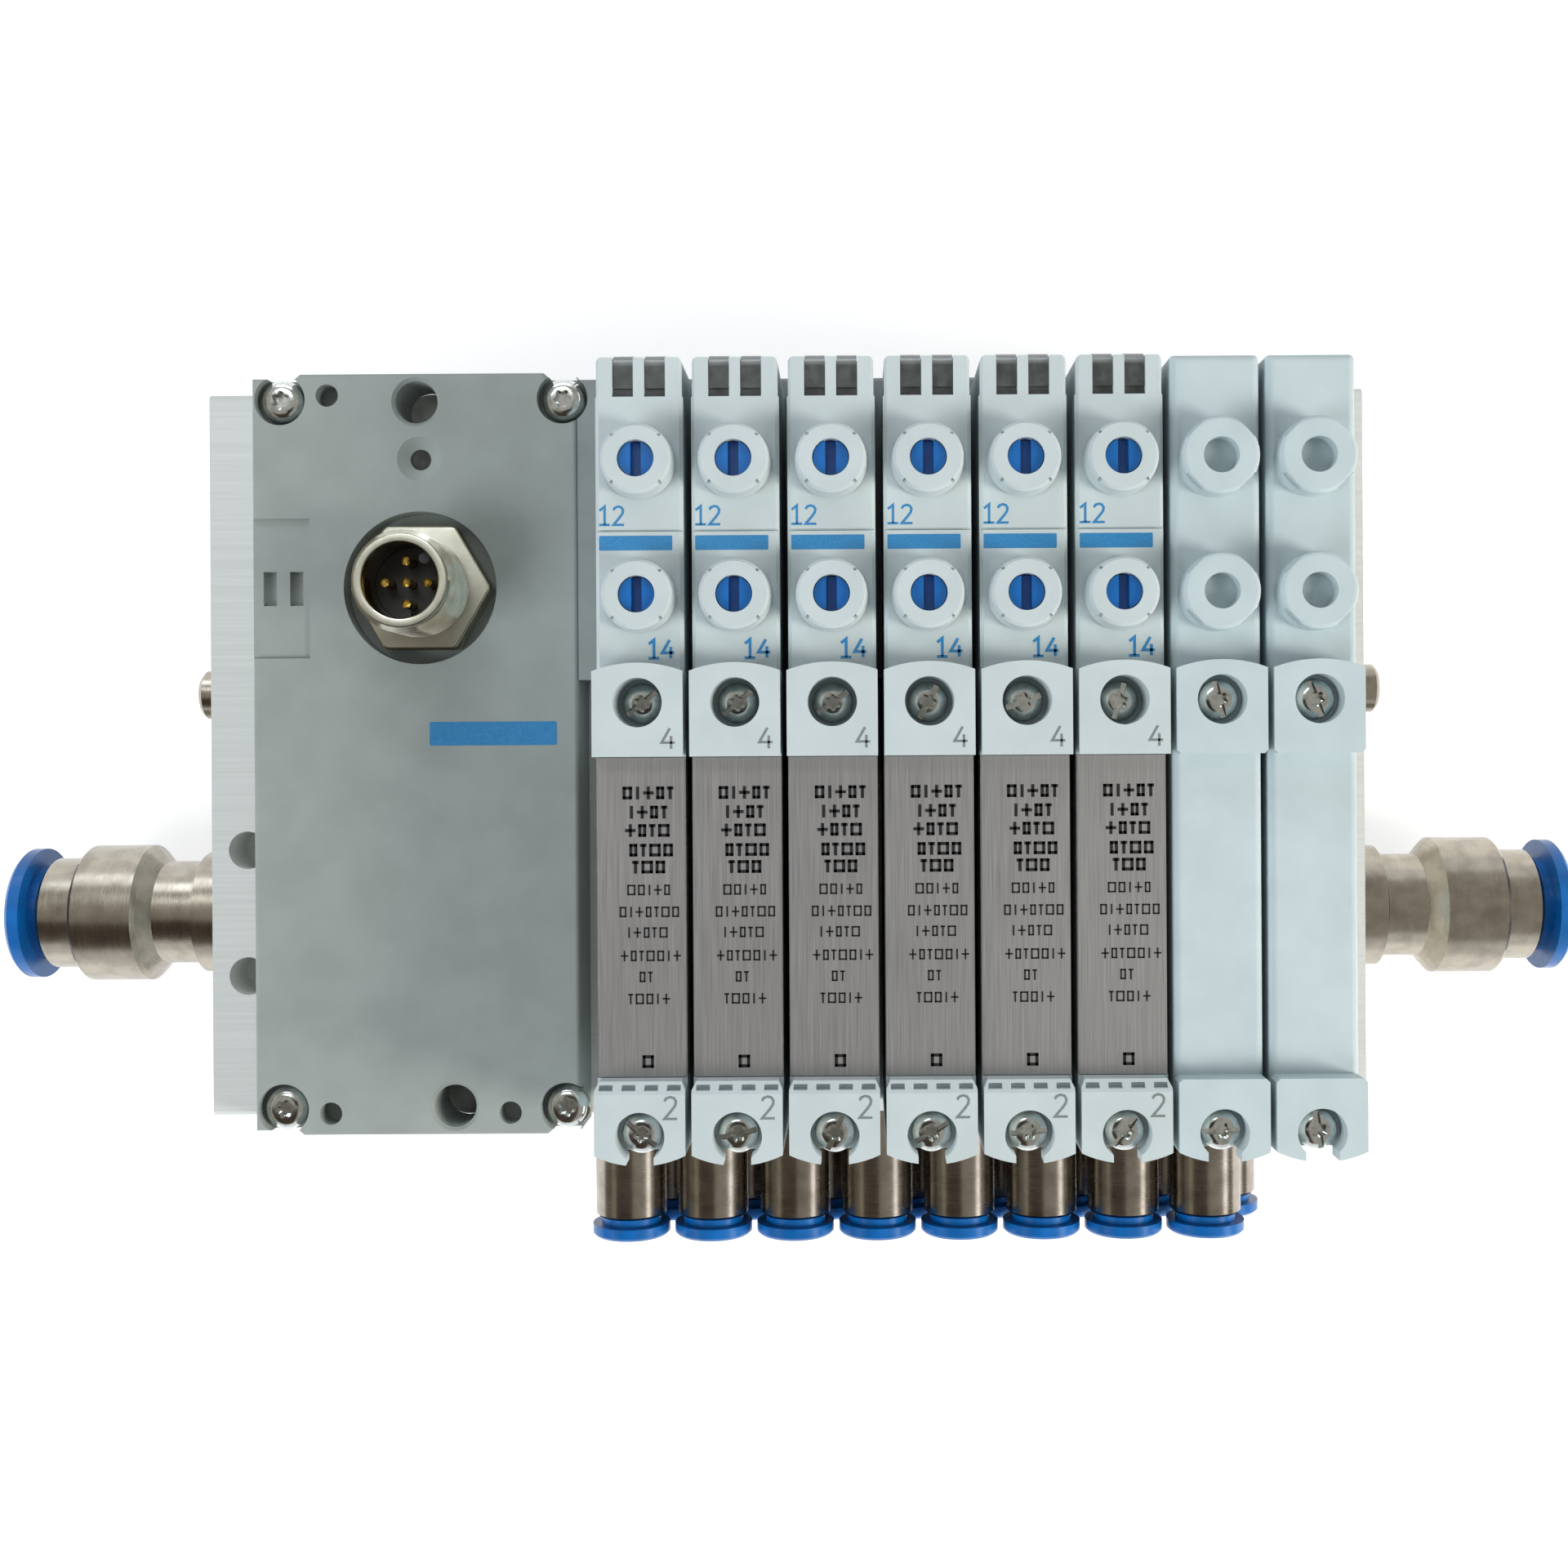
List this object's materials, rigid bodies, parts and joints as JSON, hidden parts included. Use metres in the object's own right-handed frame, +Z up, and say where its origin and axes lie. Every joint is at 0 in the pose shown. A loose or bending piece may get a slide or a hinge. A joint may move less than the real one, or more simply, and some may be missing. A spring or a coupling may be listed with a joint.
{
  "type": "pneumatic valve island",
  "caption": "Row of slim solenoid valves on a manifold rail with an electronics housing, round connector and push-in tube fittings.",
  "frame": {"origin": "centre of the manifold rail's flat underside", "axes": "+X along the row of stations, away from the electronics housing; +Y from the working ports towards the indicator lenses; +Z up, away from the mounting surface"},
  "size_m": [0.1982, 0.1074, 0.0549],
  "materials": {
    "anodised_aluminium": "clear anodised, satin",
    "valve_aluminium": "extruded, satin",
    "nameplate_aluminium": "brushed",
    "housing_plastic": "moulded, fine spark texture",
    "base_plastic": "moulded",
    "valve_plastic": "moulded, fine texture",
    "blank_plastic": "moulded, fine texture",
    "tappet_plastic": "moulded",
    "blue_plastic": "moulded",
    "black_plastic": "moulded",
    "smoked_plastic": "clear smoked",
    "light_pipe": "clear",
    "nickel_brass": "nickel plated, turned",
    "gold_contact": "gold plated",
    "zinc_steel": "zinc plated"
  },
  "bodies": {
    "island": {"manifold_rail": "anodised_aluminium", "electronics_housing": "housing_plastic", "housing_screws": "zinc_steel", "connector_shell": "nickel_brass", "connector_insert": "black_plastic", "connector_pins": "gold_contact", "status_light": "light_pipe", "electrical_base": "base_plastic", "valve_bodies": "valve_aluminium", "nameplates": "nameplate_aluminium", "end_blocks": "valve_plastic", "pilot_housings": "valve_plastic", "indicator_lenses": "smoked_plastic", "blanking_plates": "blank_plastic", "valve_screws": "zinc_steel", "port_fittings": "nickel_brass", "supply_fittings": "nickel_brass", "plug_screws": "nickel_brass"},
    "override_tappet_12_1": {"override_tappet_12_1": "tappet_plastic"},
    "override_head_12_1": {"override_head_12_1": "blue_plastic"},
    "override_tappet_12_2": {"override_tappet_12_2": "tappet_plastic"},
    "override_head_12_2": {"override_head_12_2": "blue_plastic"},
    "override_tappet_12_3": {"override_tappet_12_3": "tappet_plastic"},
    "override_head_12_3": {"override_head_12_3": "blue_plastic"},
    "override_tappet_12_4": {"override_tappet_12_4": "tappet_plastic"},
    "override_head_12_4": {"override_head_12_4": "blue_plastic"},
    "override_tappet_12_5": {"override_tappet_12_5": "tappet_plastic"},
    "override_head_12_5": {"override_head_12_5": "blue_plastic"},
    "override_tappet_12_6": {"override_tappet_12_6": "tappet_plastic"},
    "override_head_12_6": {"override_head_12_6": "blue_plastic"},
    "override_tappet_14_1": {"override_tappet_14_1": "tappet_plastic"},
    "override_head_14_1": {"override_head_14_1": "blue_plastic"},
    "override_tappet_14_2": {"override_tappet_14_2": "tappet_plastic"},
    "override_head_14_2": {"override_head_14_2": "blue_plastic"},
    "override_tappet_14_3": {"override_tappet_14_3": "tappet_plastic"},
    "override_head_14_3": {"override_head_14_3": "blue_plastic"},
    "override_tappet_14_4": {"override_tappet_14_4": "tappet_plastic"},
    "override_head_14_4": {"override_head_14_4": "blue_plastic"},
    "override_tappet_14_5": {"override_tappet_14_5": "tappet_plastic"},
    "override_head_14_5": {"override_head_14_5": "blue_plastic"},
    "override_tappet_14_6": {"override_tappet_14_6": "tappet_plastic"},
    "override_head_14_6": {"override_head_14_6": "blue_plastic"},
    "release_collar_upper_1": {"release_collar_upper_1": "blue_plastic"},
    "release_collar_upper_2": {"release_collar_upper_2": "blue_plastic"},
    "release_collar_upper_3": {"release_collar_upper_3": "blue_plastic"},
    "release_collar_upper_4": {"release_collar_upper_4": "blue_plastic"},
    "release_collar_upper_5": {"release_collar_upper_5": "blue_plastic"},
    "release_collar_upper_6": {"release_collar_upper_6": "blue_plastic"},
    "release_collar_upper_7": {"release_collar_upper_7": "blue_plastic"},
    "release_collar_upper_8": {"release_collar_upper_8": "blue_plastic"},
    "release_collar_lower_1": {"release_collar_lower_1": "blue_plastic"},
    "release_collar_lower_2": {"release_collar_lower_2": "blue_plastic"},
    "release_collar_lower_3": {"release_collar_lower_3": "blue_plastic"},
    "release_collar_lower_4": {"release_collar_lower_4": "blue_plastic"},
    "release_collar_lower_5": {"release_collar_lower_5": "blue_plastic"},
    "release_collar_lower_6": {"release_collar_lower_6": "blue_plastic"},
    "release_collar_lower_7": {"release_collar_lower_7": "blue_plastic"},
    "release_collar_lower_8": {"release_collar_lower_8": "blue_plastic"},
    "release_collar_supply_left": {"release_collar_supply_left": "blue_plastic"},
    "release_collar_supply_right": {"release_collar_supply_right": "blue_plastic"}
  },
  "joints": [
    {"name": "override_press_12_1", "type": "slide", "parent": "island", "child": "override_tappet_12_1", "axis": [0, 0, -1], "range_m": [0, 0.001], "stiffness_N_per_m": 500, "springref_m": -0.0005},
    {"name": "override_turn_12_1", "type": "hinge", "parent": "override_tappet_12_1", "child": "override_head_12_1", "pos_m": [-0.015, 0.03165, 0.053], "axis": [0, 0, -1], "range_deg": [0, 90]},
    {"name": "override_press_12_2", "type": "slide", "parent": "island", "child": "override_tappet_12_2", "axis": [0, 0, -1], "range_m": [0, 0.001], "stiffness_N_per_m": 500, "springref_m": -0.0005},
    {"name": "override_turn_12_2", "type": "hinge", "parent": "override_tappet_12_2", "child": "override_head_12_2", "pos_m": [-0.0045, 0.03165, 0.053], "axis": [0, 0, -1], "range_deg": [0, 90]},
    {"name": "override_press_12_3", "type": "slide", "parent": "island", "child": "override_tappet_12_3", "axis": [0, 0, -1], "range_m": [0, 0.001], "stiffness_N_per_m": 500, "springref_m": -0.0005},
    {"name": "override_turn_12_3", "type": "hinge", "parent": "override_tappet_12_3", "child": "override_head_12_3", "pos_m": [0.006, 0.03165, 0.053], "axis": [0, 0, -1], "range_deg": [0, 90]},
    {"name": "override_press_12_4", "type": "slide", "parent": "island", "child": "override_tappet_12_4", "axis": [0, 0, -1], "range_m": [0, 0.001], "stiffness_N_per_m": 500, "springref_m": -0.0005},
    {"name": "override_turn_12_4", "type": "hinge", "parent": "override_tappet_12_4", "child": "override_head_12_4", "pos_m": [0.0165, 0.03165, 0.053], "axis": [0, 0, -1], "range_deg": [0, 90]},
    {"name": "override_press_12_5", "type": "slide", "parent": "island", "child": "override_tappet_12_5", "axis": [0, 0, -1], "range_m": [0, 0.001], "stiffness_N_per_m": 500, "springref_m": -0.0005},
    {"name": "override_turn_12_5", "type": "hinge", "parent": "override_tappet_12_5", "child": "override_head_12_5", "pos_m": [0.027, 0.03165, 0.053], "axis": [0, 0, -1], "range_deg": [0, 90]},
    {"name": "override_press_12_6", "type": "slide", "parent": "island", "child": "override_tappet_12_6", "axis": [0, 0, -1], "range_m": [0, 0.001], "stiffness_N_per_m": 500, "springref_m": -0.0005},
    {"name": "override_turn_12_6", "type": "hinge", "parent": "override_tappet_12_6", "child": "override_head_12_6", "pos_m": [0.0375, 0.03165, 0.053], "axis": [0, 0, -1], "range_deg": [0, 90]},
    {"name": "override_press_14_1", "type": "slide", "parent": "island", "child": "override_tappet_14_1", "axis": [0, 0, -1], "range_m": [0, 0.001], "stiffness_N_per_m": 500, "springref_m": -0.0005},
    {"name": "override_turn_14_1", "type": "hinge", "parent": "override_tappet_14_1", "child": "override_head_14_1", "pos_m": [-0.015, 0.01705, 0.053], "axis": [0, 0, -1], "range_deg": [0, 90]},
    {"name": "override_press_14_2", "type": "slide", "parent": "island", "child": "override_tappet_14_2", "axis": [0, 0, -1], "range_m": [0, 0.001], "stiffness_N_per_m": 500, "springref_m": -0.0005},
    {"name": "override_turn_14_2", "type": "hinge", "parent": "override_tappet_14_2", "child": "override_head_14_2", "pos_m": [-0.0045, 0.01705, 0.053], "axis": [0, 0, -1], "range_deg": [0, 90]},
    {"name": "override_press_14_3", "type": "slide", "parent": "island", "child": "override_tappet_14_3", "axis": [0, 0, -1], "range_m": [0, 0.001], "stiffness_N_per_m": 500, "springref_m": -0.0005},
    {"name": "override_turn_14_3", "type": "hinge", "parent": "override_tappet_14_3", "child": "override_head_14_3", "pos_m": [0.006, 0.01705, 0.053], "axis": [0, 0, -1], "range_deg": [0, 90]},
    {"name": "override_press_14_4", "type": "slide", "parent": "island", "child": "override_tappet_14_4", "axis": [0, 0, -1], "range_m": [0, 0.001], "stiffness_N_per_m": 500, "springref_m": -0.0005},
    {"name": "override_turn_14_4", "type": "hinge", "parent": "override_tappet_14_4", "child": "override_head_14_4", "pos_m": [0.0165, 0.01705, 0.053], "axis": [0, 0, -1], "range_deg": [0, 90]},
    {"name": "override_press_14_5", "type": "slide", "parent": "island", "child": "override_tappet_14_5", "axis": [0, 0, -1], "range_m": [0, 0.001], "stiffness_N_per_m": 500, "springref_m": -0.0005},
    {"name": "override_turn_14_5", "type": "hinge", "parent": "override_tappet_14_5", "child": "override_head_14_5", "pos_m": [0.027, 0.01705, 0.053], "axis": [0, 0, -1], "range_deg": [0, 90]},
    {"name": "override_press_14_6", "type": "slide", "parent": "island", "child": "override_tappet_14_6", "axis": [0, 0, -1], "range_m": [0, 0.001], "stiffness_N_per_m": 500, "springref_m": -0.0005},
    {"name": "override_turn_14_6", "type": "hinge", "parent": "override_tappet_14_6", "child": "override_head_14_6", "pos_m": [0.0375, 0.01705, 0.053], "axis": [0, 0, -1], "range_deg": [0, 90]},
    {"name": "release_upper_1", "type": "slide", "parent": "island", "child": "release_collar_upper_1", "axis": [0, 1, 0], "range_m": [0, 0.0009], "stiffness_N_per_m": 500, "springref_m": -0.0005},
    {"name": "release_upper_2", "type": "slide", "parent": "island", "child": "release_collar_upper_2", "axis": [0, 1, 0], "range_m": [0, 0.0009], "stiffness_N_per_m": 500, "springref_m": -0.0005},
    {"name": "release_upper_3", "type": "slide", "parent": "island", "child": "release_collar_upper_3", "axis": [0, 1, 0], "range_m": [0, 0.0009], "stiffness_N_per_m": 500, "springref_m": -0.0005},
    {"name": "release_upper_4", "type": "slide", "parent": "island", "child": "release_collar_upper_4", "axis": [0, 1, 0], "range_m": [0, 0.0009], "stiffness_N_per_m": 500, "springref_m": -0.0005},
    {"name": "release_upper_5", "type": "slide", "parent": "island", "child": "release_collar_upper_5", "axis": [0, 1, 0], "range_m": [0, 0.0009], "stiffness_N_per_m": 500, "springref_m": -0.0005},
    {"name": "release_upper_6", "type": "slide", "parent": "island", "child": "release_collar_upper_6", "axis": [0, 1, 0], "range_m": [0, 0.0009], "stiffness_N_per_m": 500, "springref_m": -0.0005},
    {"name": "release_upper_7", "type": "slide", "parent": "island", "child": "release_collar_upper_7", "axis": [0, 1, 0], "range_m": [0, 0.0009], "stiffness_N_per_m": 500, "springref_m": -0.0005},
    {"name": "release_upper_8", "type": "slide", "parent": "island", "child": "release_collar_upper_8", "axis": [0, 1, 0], "range_m": [0, 0.0009], "stiffness_N_per_m": 500, "springref_m": -0.0005},
    {"name": "release_lower_1", "type": "slide", "parent": "island", "child": "release_collar_lower_1", "axis": [0, 1, 0], "range_m": [0, 0.0009], "stiffness_N_per_m": 500, "springref_m": -0.0005},
    {"name": "release_lower_2", "type": "slide", "parent": "island", "child": "release_collar_lower_2", "axis": [0, 1, 0], "range_m": [0, 0.0009], "stiffness_N_per_m": 500, "springref_m": -0.0005},
    {"name": "release_lower_3", "type": "slide", "parent": "island", "child": "release_collar_lower_3", "axis": [0, 1, 0], "range_m": [0, 0.0009], "stiffness_N_per_m": 500, "springref_m": -0.0005},
    {"name": "release_lower_4", "type": "slide", "parent": "island", "child": "release_collar_lower_4", "axis": [0, 1, 0], "range_m": [0, 0.0009], "stiffness_N_per_m": 500, "springref_m": -0.0005},
    {"name": "release_lower_5", "type": "slide", "parent": "island", "child": "release_collar_lower_5", "axis": [0, 1, 0], "range_m": [0, 0.0009], "stiffness_N_per_m": 500, "springref_m": -0.0005},
    {"name": "release_lower_6", "type": "slide", "parent": "island", "child": "release_collar_lower_6", "axis": [0, 1, 0], "range_m": [0, 0.0009], "stiffness_N_per_m": 500, "springref_m": -0.0005},
    {"name": "release_lower_7", "type": "slide", "parent": "island", "child": "release_collar_lower_7", "axis": [0, 1, 0], "range_m": [0, 0.0009], "stiffness_N_per_m": 500, "springref_m": -0.0005},
    {"name": "release_lower_8", "type": "slide", "parent": "island", "child": "release_collar_lower_8", "axis": [0, 1, 0], "range_m": [0, 0.0009], "stiffness_N_per_m": 500, "springref_m": -0.0005},
    {"name": "release_supply_left", "type": "slide", "parent": "island", "child": "release_collar_supply_left", "axis": [1, 0, 0], "range_m": [0, 0.0013], "stiffness_N_per_m": 800, "springref_m": -0.0005},
    {"name": "release_supply_right", "type": "slide", "parent": "island", "child": "release_collar_supply_right", "axis": [-1, 0, 0], "range_m": [0, 0.0013], "stiffness_N_per_m": 800, "springref_m": -0.0005}
  ]
}
